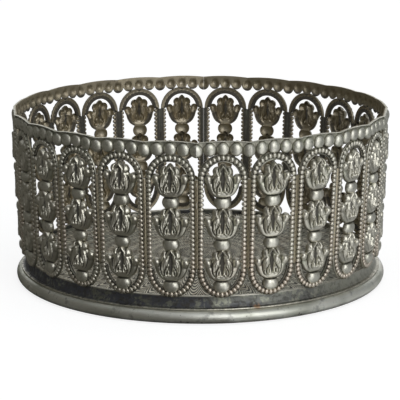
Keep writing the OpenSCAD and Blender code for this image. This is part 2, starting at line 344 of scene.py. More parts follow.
class Relief:
    """A drop of the gallery, a tulip over its ball, as a height over every place of the sheet."""

    def __init__(self, tulip):
        self.tulip = tulip
        self.grounds = [(base, self.stroke(rows)) for base, rows in GROUND_SHARES.values()]
        self.ball = self.stroke(BALL_SHARES)
        self.ribs = [self.stroke(rows) for rows in RIB_SHARES]
        self.grooves = [self.stroke(rows) for rows in GROOVE_SHARES]

    def stroke(self, rows):
        """A stroke's rows in millimetres, smoothed and set close together."""
        rows = np.array(rows) * (self.tulip.height, self.tulip.height, self.tulip.height, 1)
        return smooth_rows(rows, STROKE_POINTS_PER_ROW * len(rows))

    @staticmethod
    def away(places, stroke):
        """How far each place lies from each point of a stroke or of its mirrored half."""
        return np.hypot(np.abs(places[:, :1]) - stroke[:, 0], places[:, 1:] - stroke[:, 1])

    def nearness(self, places, stroke):
        """How near each place is to each point of a stroke: 1 on it and 0 at its edge."""
        return np.clip(1 - (self.away(places, stroke) / stroke[:, 2]) ** 2, 0, 1)

    def room(self, places, stroke):
        """How far each place lies inside a stroke's edge, below 0 outside it."""
        return (stroke[:, 2] - self.away(places, stroke)).max(axis=1)

    def raised(self, places, stroke):
        """What a rib or a groove adds or cuts at each place, in shares of the relief."""
        return (self.nearness(places, stroke) * stroke[:, 3]).max(axis=1)

    def dome(self, places, stroke, base):
        """How high a rounded stroke stands at each place, in shares of the relief: the base at its edge."""
        near = self.nearness(places, stroke)
        return np.where(near > 0, base + (stroke[:, 3] - base) * np.sqrt(near), 0).max(axis=1)

    def inside(self, places):
        """How far each place lies inside the outline, below 0 outside it."""
        under_top = BALL_TOP_SHARE * self.tulip.height - places[:, 1]
        ball = np.minimum(self.room(places, self.ball), under_top)
        return np.maximum.reduce([ball, *(self.room(places, stroke) for _, stroke in self.grounds)])

    def cut(self, places):
        """How deep the grooves are cut at each place, in shares of the relief."""
        return sum(self.raised(places, groove) for groove in self.grooves)

    def flower_and_bowl_shift(self, places):
        """How much lighter the drop is made: above 0 on the flower, below 0 on the plain bowl round it, else
        0.
        """
        x, y = places.T / self.tulip.height
        wide, middle, tall = FLOWER_SHARES
        away = np.hypot(x / wide, (y - middle) / tall)
        flower = np.clip((1 + FLOWER_FADE / 2 - away) / FLOWER_FADE, 0, 1)
        bowl = np.clip((away - 1) / FLOWER_FADE, 0, 1) * np.clip((BOWL_TOP_SHARE - y) / BOWL_FADE, 0, 1)
        return FLOWER_LIGHTENING * flower - BOWL_DARKENING * bowl * (y > 0)

    def height(self, places):
        """How high the drop stands over the sheet at each place, in millimetres."""
        high = np.maximum.reduce([self.dome(places, stroke, base) for base, stroke in self.grounds])
        low = places[:, 1] < BALL_TOP_SHARE * self.tulip.height
        high = np.maximum(high, np.where(low, self.dome(places, self.ball, BALL_BASE_SHARE), 0))
        for rib in self.ribs:
            high = high + self.raised(places, rib)
        return np.maximum(high - self.cut(places), BALL_BASE_SHARE) * self.tulip.relief

    def form(self):
        """The stamped drop as one closed skin, hollow at the back, on a fine grid drawn in to its outline."""
        step = self.tulip.grain
        reach = math.ceil(GRID_REACH_SHARE * self.tulip.height / step) * step
        xs = np.arange(-reach, reach + step / 2, step)
        ys = np.arange(GRID_LOW_SHARE * self.tulip.height, GRID_HIGH_SHARE * self.tulip.height, step)
        grid = np.array([(x, y) for y in ys for x in xs])
        kept = (self.inside(grid) > 0).reshape(len(ys), len(xs))
        cells = kept[:-1, :-1] & kept[1:, :-1] & kept[:-1, 1:] & kept[1:, 1:]
        wide = len(xs)
        corners = [(j * wide + i, j * wide + i + 1, (j + 1) * wide + i + 1, (j + 1) * wide + i)
                   for j, i in zip(*np.nonzero(cells), strict=True)]
        sides = {(cell[k], cell[(k + 1) % 4]) for cell in corners for k in range(4)}
        edges = [(a, b) for a, b in sides if (b, a) not in sides]
        used = sorted({corner for cell in corners for corner in cell})
        order = {old: new for new, old in enumerate(used)}
        places = grid[used]
        rim = np.array([order[a] for a, _ in edges])
        for _ in range(OUTLINE_ROUNDS):
            here = places[rim]
            room = self.inside(here)
            nudge = step / 20
            aside, above = self.inside(here + (nudge, 0)), self.inside(here + (0, nudge))
            slope = np.c_[aside - room, above - room] / nudge
            steep = np.maximum((slope**2).sum(axis=1), LEAST_STEEPNESS)
            places[rim] = here - slope * (room / steep)[:, None]
        height = self.height(places * READ_SHARE)
        count = len(used)
        front = np.c_[places, height]
        back = np.c_[places, np.maximum(height - self.tulip.wall, 0)]
        back[rim, 2] = 0
        faces = [[order[c] for c in cell] for cell in corners]
        faces += [[order[c] + count for c in cell[::-1]] for cell in corners]
        faces += [[order[b], order[a], order[a] + count, order[b] + count] for a, b in edges]
        return Form().add(np.vstack([front, back]), faces)


# The stamped panel, drawn flat: x across, y up its sheet, z outwards from its inside face.
# The section of a loop's band is given as (share of the flange, or of the lip if below 0, height as a share
# of the sheet's relief). The beads' bed lies at 0, and its back is dimpled deeper behind each bead.

BAND_FRONT = [
    (1, 0.86), (0.95, 1), (0.88, 0.9), (0.7, 0.86), (0.6, 0.58), (0, 0.55), (-0.6, 0.5), (-0.86, 0.9),
    (-1, 0.7)]
BAND_BACK_OF_LIP = [(-1, 0.25), (-0.8, 0), (-0.5, 0.05)]
BAND_BACK_OF_FLANGE = [(0.3, 0.05), (0.55, 0), (0.97, 0), (1, 0.15)]
BEAD_DIMPLE_SHARE = 0.42
BETWEEN_DIMPLE_SHARE = 0.12

# The rim. Its plain edge is given as (millimetres below the top, height as a share of the sheet's relief).
# The groove between its beads is a share of that relief too. How far a bead reaches up and down at its sides,
# and how far its foot lies under its middle, are shares of its radius and of that reach.

RIM_EDGE_ROWS = [(0.38, 0.15), (0.28, 0.2), (0.22, 0.9), (0.06, 1.05), (0, 0.85)]
RIM_GROOVE_SHARE = 0.3
RIM_BEAD_SIDE_SHARE = 0.22
RIM_BEAD_FOOT_SHARE = 1.04
RIM_BEAD_ROWS = 13
RIM_BEADS = 4
STEPS_PER_RIM_BEAD = 16
HOLLOW_ROWS = 9

# Points that each quarter of the loop's line is measured on

QUARTER_STEPS = 90


class PanelPlan:
    """Places on one flat panel, worked out from its sizes."""

    def __init__(self, gallery, foot):
        self.gallery = gallery
        self.half_turn = math.pi / len(PANEL_NODES)
        self.lean = math.asin(gallery.flare / gallery.panel_h)
        neck_h = (SHELL_HIGH.z - RING_HIGH.z) / MM - foot.fillet_h - gallery.seam
        neck_r = RING_HIGH.x / MM - foot.neck_inset
        self.foot_z = SHELL_HIGH.z / MM - gallery.lap
        self.foot_r = neck_r + foot.neck_flare * gallery.lap / neck_h + gallery.seam
        half_pitch = (self.foot_r + gallery.flare / 2) * math.tan(self.half_turn)
        self.loop_w = half_pitch - gallery.column_gap / 2
        self.crown_mid_y = gallery.panel_h - gallery.crown_drop - self.loop_w
        self.toe_mid_y = gallery.flange_w + gallery.toe_h

    def joint_x(self, y, z):
        """Half the panel's width between its joints, at a height along the sheet and out from it."""
        out = self.foot_r + y * math.sin(self.lean) + z * math.cos(self.lean)
        return out * math.tan(self.half_turn) - self.gallery.seam / 2

    def in_place(self, i):
        """The matrix that stands panel number i in the gallery, in millimetres."""
        turn = Matrix.Rotation(self.gallery.first_angle + 2 * i * self.half_turn, 4, "Z")
        out = Matrix.Translation((0, -self.foot_r, self.foot_z))
        return turn @ out @ Matrix.Rotation(math.pi / 2 + self.lean, 4, "X")

    def loop_share(self, x, y):
        """How far out of the loop's middle each place lies, as a share: 1 on the line of the small beads."""
        over = np.maximum((y - self.crown_mid_y) / self.loop_w, (self.toe_mid_y - y) / self.gallery.toe_h)
        return np.hypot(x / self.loop_w, np.maximum(over, 0))

    def loop_line(self, count):
        """Even places along the middle of a loop's beads, from the top bead round to the left."""
        upper = np.radians(np.linspace(90, 180, QUARTER_STEPS))
        lower = np.radians(np.linspace(180, 270, QUARTER_STEPS))
        half = np.vstack([
            np.c_[self.loop_w * np.cos(upper), self.crown_mid_y + self.loop_w * np.sin(upper)],
            np.c_[self.loop_w * np.cos(lower), self.toe_mid_y + self.gallery.toe_h * np.sin(lower)]])
        line = np.vstack([half, (half * (-1, 1))[::-1][1:]])
        run = np.r_[0, np.cumsum(np.linalg.norm(np.diff(line, axis=0), axis=1))]
        places = np.linspace(0, run[-1], count, endpoint=False)
        return np.c_[np.interp(places, run, line[:, 0]), np.interp(places, run, line[:, 1])]


def band_point(plan, point, out, share, z):
    """A point across the band at a point of the loop's line, where out is the way to the flange's edge."""
    gallery = plan.gallery
    if share <= 0:
        return (*(point + out * share * gallery.lip_w), z * gallery.sheet_t)
    edge = point + out * gallery.flange_w
    limit = plan.joint_x(edge[1], z * gallery.sheet_t)
    upright = plan.toe_mid_y <= point[1] <= plan.crown_mid_y
    side = 1 if point[0] >= 0 else -1
    edge[0] = side * (limit if upright else min(abs(edge[0]), limit))
    return (*(point + (edge - point) * share), z * gallery.sheet_t)


def loop_band(plan):
    """The stamped loop: a flange up to the joints, the bed of the small beads and the inner lip."""
    line = plan.loop_line(2 * plan.gallery.bead_count)
    lead = np.roll(line, -1, axis=0) - np.roll(line, 1, axis=0)
    lead /= np.linalg.norm(lead, axis=1)[:, None]
    away = np.c_[-lead[:, 1], lead[:, 0]]
    rings = []
    for i, (point, out) in enumerate(zip(line, away, strict=True)):
        dimple = BETWEEN_DIMPLE_SHARE if i % 2 else BEAD_DIMPLE_SHARE
        section = [*BAND_FRONT, *BAND_BACK_OF_LIP, (0, dimple), *BAND_BACK_OF_FLANGE]
        rings.append([band_point(plan, point, out, share, z) for share, z in section[::-1]])
    return wrapped(rings, closed=True)


def rim_strip(plan):
    """The rim over the loop: round beads side by side under a plain edge, hollow at the back."""
    gallery = plan.gallery
    halves = RIM_BEADS // 2
    peak = gallery.rim_bead_r - gallery.rim_bead_back
    ground = gallery.sheet_t * RIM_GROOVE_SHARE
    pitch = plan.joint_x(gallery.panel_h - gallery.rim_bead_drop, 0) / halves
    turns = np.radians(np.linspace(-90, 90, STEPS_PER_RIM_BEAD + 1))
    climbs = np.sin(np.radians(np.linspace(-90, 90, RIM_BEAD_ROWS)))
    columns = [(k, turn) for k in range(-halves, halves + 1) for turn in turns]
    columns = columns[STEPS_PER_RIM_BEAD // 2:-STEPS_PER_RIM_BEAD // 2]
    rings = []
    for k, turn in columns:
        aside = gallery.rim_bead_w * math.sin(turn)
        across = (k + aside / pitch) / halves
        bead_y = gallery.panel_h - gallery.rim_bead_drop - gallery.rim_dip * (k / halves) ** 2
        top_y = gallery.panel_h - gallery.rim_dip * across**2
        reach = gallery.rim_bead_r * max(math.cos(turn), RIM_BEAD_SIDE_SHARE)
        low_y = min(bead_y - RIM_BEAD_FOOT_SHARE * reach, top_y - gallery.rim_band_h)
        front = [(low_y, ground)]
        for climb in climbs * reach:
            dome = max(math.cos(turn) ** 2 - (climb / gallery.rim_bead_r) ** 2, 0)
            front.append((bead_y + climb, ground + (peak - ground) * math.sqrt(dome)))
        front += [(top_y - down, share * gallery.sheet_t) for down, share in RIM_EDGE_ROWS]
        room = (gallery.rim_bead_r - gallery.rim_bead_t) ** 2 - aside**2
        back = []
        for y in np.linspace(top_y, low_y, HOLLOW_ROWS):
            depth = math.sqrt(max(room - (y - bead_y) ** 2, 0)) - gallery.rim_bead_back
            back.append((y, max(depth, 0)))
        rings.append([(across * plan.joint_x(y, z), y, z) for y, z in front + back])
    return wrapped(rings)


# Meshes and the marks of wear on them

def mesh_of(name, form, scale=1.0):
    """A mesh of a form, at this many mesh units to a millimetre."""
    mesh = bpy.data.meshes.new(name)
    mesh.from_pydata((form.points * scale).tolist(), [], form.faces)
    mesh.validate()
    mesh.update()
    return mesh


def face_outwards(mesh):
    """Turns each closed skin's faces outwards."""
    work = bmesh.new()
    work.from_mesh(mesh)
    bmesh.ops.recalc_face_normals(work, faces=work.faces)
    work.to_mesh(mesh)
    work.free()
    mesh.update()


# Edges sharper than this stay crisp, in degrees

STAMPED_EDGE = 50
TURNED_EDGE = 40


def soften(mesh, degrees):
    """Shades the mesh smooth, with edges sharper than this kept crisp."""
    mesh.shade_smooth()
    mesh.set_sharp_from_angle(angle=math.radians(degrees))


def joined(name, meshes):
    """One mesh of several, as they lie."""
    work = bmesh.new()
    for mesh in meshes:
        work.from_mesh(mesh)
    made = bpy.data.meshes.new(name)
    work.to_mesh(made)
    work.free()
    return made


def places_of(mesh):
    """The points of a mesh as rows of x, y and z."""
    points = np.zeros(len(mesh.vertices) * 3, np.float32)
    mesh.vertices.foreach_get("co", points)
    return points.reshape(-1, 3).astype(float)


def mark(mesh, name, values):
    """Writes one number for each point of the mesh."""
    layer = mesh.attributes.new(name, "FLOAT", "POINT")
    layer.data.foreach_set("value", np.asarray(values, np.float32))


# A ray starts this share of its reach off the surface. A hit counts as this power of its distance.

RAY_START_SHARE = 0.01
RAY_POWER = 1.5


def open_share(mesh, reach, rays):
    """How much of the air within reach of each point is open: 1 on high spots, near 0 in hollows."""
    points = [vertex.co.copy() for vertex in mesh.vertices]
    normals = [vertex.normal.copy() for vertex in mesh.vertices]
    tree = BVHTree.FromPolygons(points, [tuple(face.vertices) for face in mesh.polygons])
    golden = math.pi * (3 - math.sqrt(5))
    sample = []
    for k in range(rays):
        up = math.sqrt(1 - (k + 0.5) / rays)
        flat = math.sqrt(1 - up * up)
        sample.append(Vector((flat * math.cos(k * golden), flat * math.sin(k * golden), up)))
    shares = []
    for point, normal in zip(points, normals, strict=True):
        turn = normal.to_track_quat("Z", "Y")
        start = point + normal * (reach * RAY_START_SHARE)
        free = 0.0
        for way in sample:
            hit = tree.ray_cast(start, turn @ way, reach)
            free += 1 if hit[0] is None else (hit[3] / reach) ** RAY_POWER
        shares.append(free / rays)
    return shares


def crests(mesh, rise, rounds):
    """How each point stands to the points round it: 1 on a ridge of this rise, and -1 in such a groove."""
    points = places_of(mesh)
    count = len(points)
    normals = np.zeros(count * 3, np.float32)
    mesh.vertices.foreach_get("normal", normals)
    ends = np.zeros(len(mesh.edges) * 2, np.int32)
    mesh.edges.foreach_get("vertices", ends)
    here, there = np.r_[ends[::2], ends[1::2]], np.r_[ends[1::2], ends[::2]]
    links = np.bincount(here, minlength=count)
    smooth = points
    for _ in range(rounds):
        smooth = np.stack([np.bincount(here, column[there], count) for column in smooth.T], axis=1)
        smooth /= links[:, None]
    return np.clip(((points - smooth) * normals.reshape(-1, 3)).sum(axis=1) / rise, -1, 1)


# The knocks round the foot and the gallery, as waves of (size, times round, start). The gallery's grow
# towards the rim by a power of the height.

FOOT_KNOCKS = [(0.5, 3, 0.4), (0.3, 8, 2), (0.2, 19, 1)]
GALLERY_KNOCKS = [(0.3, 2, 0.6), (0.3, 5, 2.1), (0.2, 11, 0.4), (0.2, 17, 1.3)]
KNOCK_POWER = 1.5


def knocked(points, depths, waves):
    """Points pushed in towards the axis by shallow knocks, each point by no more than its own depth."""
    x, y, z = points.T
    turn = np.arctan2(y, x)
    wave = sum(size * np.sin(times * turn + start) for size, times, start in waves)
    pull = 1 - depths * (0.5 + 0.5 * wave) / np.maximum(np.hypot(x, y), 1)
    return np.c_[x * pull, y * pull, z]


# Node trees, for shaders and geometry alike

def rgba(shade):
    """A colour as a node's socket takes it."""
    return (*shade, 1.0)


class Wire:
    """One output of a node, so that maths on it is written with + - *. A bare one only adds nodes."""

    def __init__(self, tree, socket=None):
        self.tree = tree
        self.socket = socket

    def node(self, kind, inputs=None, output=0, **settings):
        """A node of this kind: its settings first, then the values or wires of its inputs."""
        made = self.tree.nodes.new(kind)
        for name, value in settings.items():
            setattr(made, name, value)
        for name, value in (inputs or {}).items():
            if isinstance(value, Wire):
                self.tree.links.new(value.socket, made.inputs[name])
            else:
                made.inputs[name].default_value = value
        return Wire(self.tree, made.outputs[output])

    def maths(self, operation, first, second, clamped=False):
        """What a Math node makes of two numbers, each a wire or a plain value."""
        return self.node(
            "ShaderNodeMath", {0: first, 1: second}, operation=operation, use_clamp=clamped)

    def __add__(self, other):
        return self.maths("ADD", self, other)

    def __sub__(self, other):
        return self.maths("SUBTRACT", self, other)

    def __rsub__(self, other):
        return self.maths("SUBTRACT", other, self)

    def __mul__(self, other):
        return self.maths("MULTIPLY", self, other)

    __radd__ = __add__
    __rmul__ = __mul__

    def capped(self):
        """This number held between 0 and 1."""
        return self.maths("ADD", self, 0.0, clamped=True)

    def between(self, low, high):
        """0 below the low value and 1 above the high one, with a soft step between."""
        return self.node(
            "ShaderNodeMapRange", {"Value": self, "From Min": low, "From Max": high},
            interpolation_type="SMOOTHSTEP")

    def mixed(self, shade, share):
        """This colour turned into another by a share of 0 to 1."""
        return self.node(
            "ShaderNodeMix", {"Factor": share, "A": self, "B": rgba(shade)}, "Result", data_type="RGBA")


# Geometry Nodes

BEAD_SEGMENTS = 8
BEAD_RINGS = 6

# Random Value has range sockets and an output for every type. These are the ones for plain numbers.

RANDOM_LOW = 2
RANDOM_HIGH = 3
RANDOM_NUMBER = 1


def geometry_tree(name, inputs):
    """A geometry tree: itself, a wire from each of its inputs by title, and their identifiers."""
    tree = bpy.data.node_groups.new(name, "GeometryNodeTree")
    for title, kind in inputs.items():
        tree.interface.new_socket(title, in_out="INPUT", socket_type="NodeSocket" + kind)
    tree.interface.new_socket("Geometry", in_out="OUTPUT", socket_type="NodeSocketGeometry")
    source = tree.nodes.new("NodeGroupInput")
    given = {title: Wire(tree, source.outputs[title]) for title in inputs}
    keys = {
        item.name: item.identifier for item in tree.interface.items_tree
        if item.item_type == "SOCKET" and item.in_out == "INPUT"}
    return tree, given, keys


def led_out(tree, instances, metal):
    """Ends a tree: its instances made real and given their metal."""
    real = instances.node("GeometryNodeRealizeInstances", {"Geometry": instances})
    dressed = real.node("GeometryNodeSetMaterial", {"Geometry": real, "Material": metal})
    sink = tree.nodes.new("NodeGroupOutput")
    tree.links.new(dressed.socket, sink.inputs["Geometry"])


def bead_row_tree():
    """Beads set evenly along a closed line, each a little larger or smaller than the next."""
    tree, given, keys = geometry_tree("bead_row", {
        "Geometry": "Geometry", "Bead radius": "Float", "Bead breadth": "Float", "Bead height": "Float",
        "Bead count": "Int", "Unevenness": "Float", "Seed": "Int", "Metal": "Material"})
    start = Wire(tree)
    line = start.node("GeometryNodeMeshToCurve", {"Mesh": given["Geometry"]})
    even = start.node(
        "GeometryNodeResampleCurve", {"Curve": line, "Count": given["Bead count"]}, mode="COUNT")
    bead = start.node("GeometryNodeMeshUVSphere", {
        "Segments": BEAD_SEGMENTS, "Rings": BEAD_RINGS, "Radius": given["Bead radius"]})
    size = start.node("FunctionNodeRandomValue", {
        RANDOM_LOW: 1 - given["Unevenness"], RANDOM_HIGH: 1, "Seed": given["Seed"]},
        RANDOM_NUMBER, data_type="FLOAT")
    stretched = start.node("ShaderNodeCombineXYZ", {
        "X": size, "Y": size * given["Bead breadth"], "Z": size * given["Bead height"]})
    lead = start.node("GeometryNodeInputTangent")
    along = start.node("FunctionNodeAlignRotationToVector", {"Vector": lead}, axis="X")
    beads = start.node("GeometryNodeInstanceOnPoints", {
        "Points": even, "Instance": bead, "Rotation": along, "Scale": stretched})
    led_out(tree, beads, given["Metal"])
    return tree, keys


def drop_row_tree():
    """A straight row of one stamped drop, one over the other."""
    tree, given, keys = geometry_tree("drop_row", {
        "Geometry": "Geometry", "Drop": "Object", "Drops": "Int", "First": "Vector", "Pitch": "Vector",
        "Metal": "Material"})
    start = Wire(tree)
    row = start.node("GeometryNodeMeshLine", {
        "Count": given["Drops"], "Start Location": given["First"], "Offset": given["Pitch"]})
    drop = start.node("GeometryNodeObjectInfo", {"Object": given["Drop"]}, "Geometry")
    drops = start.node("GeometryNodeInstanceOnPoints", {"Points": row, "Instance": drop})
    led_out(tree, drops, given["Metal"])
    return tree, keys


def grown(name, base, made_tree, values):
    """The plain mesh that a geometry tree makes on a base mesh, with the values of its inputs by title."""
    tree, keys = made_tree
    carrier = bpy.data.objects.new(name, base)
    bpy.context.scene.collection.objects.link(carrier)
    change = carrier.modifiers.new(name, "NODES")
    change.node_group = tree
    for title, value in values.items():
        change[keys[title]] = value
    bpy.context.view_layer.update()
    seen = carrier.evaluated_get(bpy.context.evaluated_depsgraph_get())
    made = bpy.data.meshes.new_from_object(seen)
    carrier.modifiers.remove(change)
    bpy.data.objects.remove(carrier)
    return made


# Materials

class Paint:
    """A new material with its shader, and the places that its patterns read."""

    def __init__(self, name):
        self.material = bpy.data.materials.new(name)
        self.material.use_nodes = True
        tree = self.material.node_tree
        self.shader = tree.nodes["Principled BSDF"]
        self.start = Wire(tree)
        self.place = self.start.node("ShaderNodeTexCoord", output="Object")

    def noise(self, scale, detail=3.0, rough=0.55, squash=None):
        """Cloudy noise of this scale to a metre. Along an axis, a squash over 1 makes it finer."""
        place = self.place
        if squash:
            place = self.start.node("ShaderNodeMapping", {"Vector": place, "Scale": squash})
        return self.start.node(
            "ShaderNodeTexNoise",
            {"Vector": place, "Scale": scale, "Detail": detail, "Roughness": rough})

    def along(self, axis):
        """How far each place lies along X, Y or Z, in metres."""
        return self.start.node("ShaderNodeSeparateXYZ", {"Vector": self.place}, axis)

    def mark(self, name):
        """The number that the mesh's mark of this name holds."""
        return self.start.node("ShaderNodeAttribute", output="Fac", attribute_name=name)

    def shade(self, colour):
        """A plain colour that other colours can be mixed into."""
        return self.start.node(
            "ShaderNodeMix", {"Factor": 0.0, "A": rgba(colour)}, "Result", data_type="RGBA")

    def feed(self, **inputs):
        """Gives the shader's inputs values or wires, with their titles' spaces as underlines."""
        for name, value in inputs.items():
            socket = self.shader.inputs[name.replace("_", " ")]
            if isinstance(value, Wire):
                self.material.node_tree.links.new(value.socket, socket)
            else:
                socket.default_value = value

    def finish(self, colour, rough, metallic, height, depth):
        """Feeds what every finish has and returns the material. Depth is the relief's, in metres."""
        bump = self.start.node(
            "ShaderNodeBump", {"Height": height, "Strength": 1.0, "Distance": depth}, "Normal")
        self.feed(Base_Color=colour, Roughness=rough, Metallic=metallic, Normal=bump)
        return self.material


def gallery_silver(tint):
    """Silver plate that is black in the hollows, dull on the open faces and bright on the high spots."""
    paint = Paint("gallery_silver")
    drift = paint.noise(45, 2)
    patch = paint.noise(160, 3)
    mottle = paint.noise(900, 4, 0.6)
    grain = paint.noise(4200, 2)
    # The mark "rubbed" holds wear and tarnish, and painted shade on the rim beads below their middle.
    rub = paint.mark("rubbed") + (mottle - 0.5) * 0.18 + (patch - 0.5) * 0.2
    black = 1 - rub.between(0.0, 0.3)
    bright = rub.between(0.45, 0.85)
    warm = paint.mark("warm")
    dull = paint.mark("dull")
    inside = paint.mark("inside")
    colour = paint.shade(tint.silver)
    colour = colour.mixed(tint.verdigris, patch.between(0.48, 0.7) * 0.7)
    colour = colour.mixed(tint.copper, drift.between(0.5, 0.68) * mottle.between(0.4, 0.6) * 0.4)
    colour = colour.mixed(tint.worn, bright * 0.75)
    colour = colour.mixed(tint.moulding, dull * bright * 0.35)
    colour = colour.mixed(tint.verdigris, dull * mottle.between(0.5, 0.62) * 0.6)
    colour = colour.mixed(tint.copper, warm * drift.between(0.32, 0.58) * 0.6)
    colour = colour.mixed(tint.inside, inside * 0.6)
    colour = colour.mixed(tint.tarnish, black * 0.9)
    rough = 0.39 + black * 0.22 + (mottle - 0.5) * 0.24 + inside * 0.1 + dull * 0.1 - bright * 0.05
    metallic = 1 - black * 0.5
    height = grain * 0.35 + mottle * 0.65
    return paint.finish(colour, rough.capped(), metallic, height, 0.03 * MM)


def foot_silver(tint):
    """The moulding: pale grey silver with fine turning marks, scuffs, dark specks, and an underside darkened
    by painted shade with some tarnish.
    """
    paint = Paint("foot_silver")
    drift = paint.noise(38, 3)
    patch = paint.noise(240, 4, 0.6)
    grain = paint.noise(2600, 3)
    streak = paint.noise(90, 4, 0.65, squash=(1, 1, 18))
    height = paint.along("Z")
    # Darker towards the moulding's foot: painted shade under it, with some tarnish.
    low = 1 - (height + (patch - 0.5) * (1.2 * MM)).between(0.5 * MM, 2.1 * MM)
    colour = paint.shade(tint.moulding).mixed(tint.worn, streak.between(0.42, 0.7) * 0.5)
    colour = colour.mixed(tint.verdigris, drift.between(0.45, 0.62) * 0.6)
    colour = colour.mixed(tint.neck, patch.between(0.55, 0.75) * 0.5)
    # Dark specks, and the painted shade towards the moulding's foot.
    specks_and_underside_shade = (paint.noise(420, 3, 0.7).between(0.62, 0.72) * 0.6 + low * 0.85).capped()
    colour = colour.mixed(tint.tarnish, specks_and_underside_shade)
    rough = 0.46 + (patch - 0.5) * 0.4 + (streak - 0.5) * 0.2 + specks_and_underside_shade * 0.15
    relief = grain * 0.3 + streak * 0.4 + patch * 0.3
    return paint.finish(colour, rough.capped(), 1 - specks_and_underside_shade * 0.3, relief, 0.08 * MM)


def neck_silver(tint, foot):
    """The base shell: a neck blotched blue-black with bare patches, lighter towards the right, with pale
    edges and a rust spot.
    """
    paint = Paint("neck_silver")
    drift = paint.noise(24, 2)
    blotch = paint.noise(230, 3, 0.6)
    mottle = paint.noise(700, 4, 0.7)
    scratch = paint.noise(260, 4, 0.7, squash=(1, 1, 5))
    height = paint.along("Z")
    edge = height + (mottle - 0.5) * (0.5 * MM)
    lip = SHELL_HIGH.z
    neck = edge.between(SHELL_LOW.z + 0.45 * MM, SHELL_LOW.z + 0.75 * MM)
    neck = neck * (1 - edge.between(lip - 0.6 * MM, lip - 0.1 * MM))
    spot_r = SHELL_HIGH.x - 0.4 * MM
    spot = (spot_r * math.sin(foot.rust_angle), -spot_r * math.cos(foot.rust_angle), SHELL_LOW.z + 0.5 * MM)
    away = paint.start.node("ShaderNodeVectorMath", {0: paint.place, 1: spot}, "Value", operation="DISTANCE")
    rust = 1 - (away + (mottle - 0.5) * (4 * MM)).between(0.5 * MM, 1.5 * MM)
    bare = drift.between(0.5, 0.58) * 0.4 + blotch.between(0.44, 0.6) * mottle.between(0.42, 0.56) * 0.9
    # The neck is made lighter towards the right, along X.
    side = paint.along("X").between(15 * MM, 55 * MM)
    bare = (bare + side * 0.5).capped()
    cover = neck * (1 - bare)
    colour = paint.shade(tint.worn).mixed(tint.silver, mottle.between(0.4, 0.6) * 0.8)
    colour = colour.mixed([0.6 * c for c in tint.verdigris], neck * (0.85 - side * 0.35))
    colour = colour.mixed(tint.neck, cover)
    colour = colour.mixed(tint.tarnish, (mottle + scratch * 0.4).between(0.66, 0.8) * cover * 0.8)
    colour = colour.mixed(tint.rust, rust * 0.75)
    rough = 0.4 + cover * 0.12 + (mottle - 0.5) * 0.5 + rust * 0.2
    relief = mottle * 0.6 + scratch * 0.4
    return paint.finish(colour, rough.capped(), 1 - (cover * 0.3 + rust * 0.5).capped(), relief, 0.15 * MM)


def floor_silver(tint, foot):
    """The floor plate: fine scalloped lines cut round it, dull with warm stains."""
    paint = Paint("floor_silver")
    turn = paint.start.maths("ARCTAN2", paint.along("Y"), paint.along("X"))
    away = paint.start.node("ShaderNodeVectorMath", {0: paint.place}, "Value", operation="LENGTH")
    wave = paint.start.maths("SINE", turn * (foot.scallops / 2), 0.0)
    wave = paint.start.maths("ABSOLUTE", wave, 0.0)
    line = paint.start.maths(
        "SINE", (away - wave * (foot.scallop_depth * MM)) * (2 * math.pi / (foot.hatch_pitch * MM)), 0.0)
    cut = line.between(-0.15, 0.1)
    drift = paint.noise(26, 3)
    patch = paint.noise(120, 4, 0.6)
    mottle = paint.noise(900, 3)
    colour = paint.shade(tint.plate).mixed(tint.verdigris, drift.between(0.45, 0.62) * 0.6)
    colour = colour.mixed(tint.inside, patch.between(0.5, 0.66) * 0.6)
    colour = colour.mixed(tint.tarnish, (1 - cut) * 0.95)
    rough = 0.45 + (1 - cut) * 0.15 + (patch - 0.5) * 0.25
    height = cut * 0.8 + mottle * 0.2
    return paint.finish(colour, rough.capped(), 0.35, height, 0.15 * MM)


def stained_board(tint):
    """A turned hardwood board with its grain along X."""
    paint = Paint("stained_board")
    wander = paint.noise(40, 3, squash=(0.25, 1, 1))
    grain = paint.noise(700, 4, 0.65, squash=(0.06, 1, 1))
    pores = paint.noise(2600, 2, squash=(0.08, 1, 1))
    rings = paint.start.maths("SINE", wander * 60, 0.0)
    dark = (rings.between(-0.3, 0.9) * 0.4 + grain.between(0.35, 0.65) * 0.4).capped()
    colour = paint.shade(tint.wood).mixed([0.45 * c for c in tint.wood], dark)
    height = grain * 0.5 + pores.between(0.5, 0.62) * 0.5
    return paint.finish(colour, 0.6 + dark * 0.15, 0.0, height, 0.06 * MM)


def green_felt(tint):
    """Pressed wool felt: short fibres lying every way, a little worn and dusty."""
    paint = Paint("green_felt")
    fibre = paint.noise(1500, 5, 0.75)
    strand = paint.noise(900, 4, 0.8, squash=(1, 0.2, 1))
    crossed = paint.noise(900, 4, 0.8, squash=(0.2, 1, 1))
    patch = paint.noise(60, 3)
    lie = strand * 0.5 + crossed * 0.5
    colour = paint.shade(tint.felt).mixed([2.2 * c for c in tint.felt], lie.between(0.4, 0.65))
    colour = colour.mixed(tint.dust, patch.between(0.5, 0.75) * 0.35)
    rough = 0.86 + fibre * 0.12
    height = fibre * 0.5 + lie * 0.5
    paint.feed(Sheen_Weight=0.4, Sheen_Roughness=0.6)
    return paint.finish(colour, rough, 0.0, height, 0.25 * MM)


# Pieces

RING_STEPS = 300
FLOOR_STEPS = 240
DISC_STEPS = 200

# How far in from its edge a turned piece is knocked, in millimetres

KNOCKED_BAND = 3.5

# The neck's cove runs between these shares of the neck's height

COVE_START, COVE_END = 0.12, 0.86
COVE_STEPS = 8

# A disc's middle is closed by a small flat face of this share of its radius

POLE_SHARE = 0.01

# The floor's rim groove lies this many hatch pitches in from its edge

BORDER_HATCHES = 4


